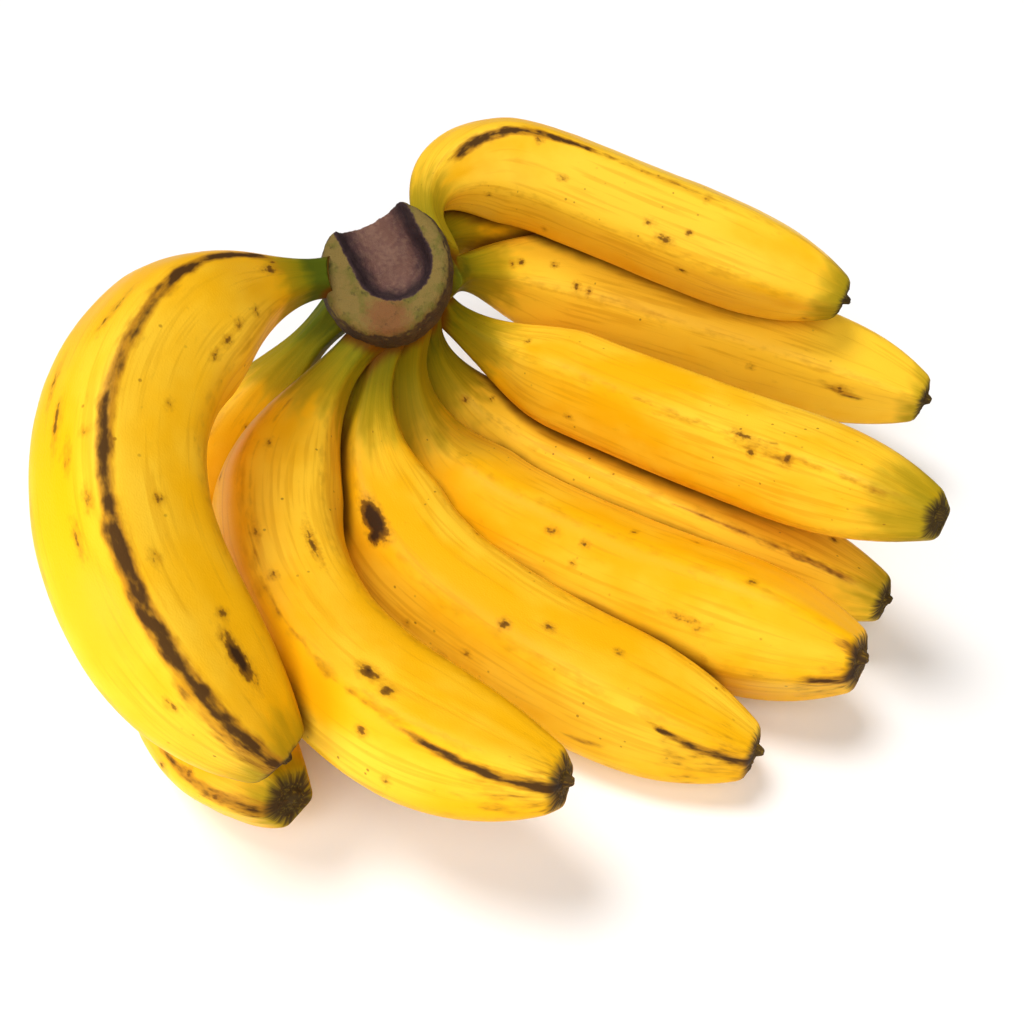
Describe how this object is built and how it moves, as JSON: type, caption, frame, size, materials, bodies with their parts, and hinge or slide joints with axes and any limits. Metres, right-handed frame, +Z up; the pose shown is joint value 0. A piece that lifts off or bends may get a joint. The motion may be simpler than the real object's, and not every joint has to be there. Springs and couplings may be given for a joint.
{
  "type": "hand of bananas",
  "caption": "Hand of ripe yellow bananas still joined at their cut brown crown, lying on its back with the tips all to one side.",
  "frame": {"origin": "centre of the bounding box on the table plane under the hand, as it lies on its back", "axes": "+Z up from the table; +X the way every tip points, along the line of the old stalk; +Y across the hand, from its near outer finger to its far outer finger"},
  "size_m": [0.2002, 0.2586, 0.1148],
  "materials": {
    "peel": "satin waxy fruit peel, green at the necks and tips, with brown ridge marks and specks",
    "crown": "dry fibrous cut stalk, dull"
  },
  "bodies": {
    "root": {"crown": "crown", "finger_1": "peel", "finger_2": "peel", "finger_3": "peel", "finger_4": "peel", "finger_5": "peel", "finger_6": "peel", "finger_7": "peel", "finger_8": "peel", "finger_9": "peel", "finger_10": "peel"}
  },
  "joints": []
}
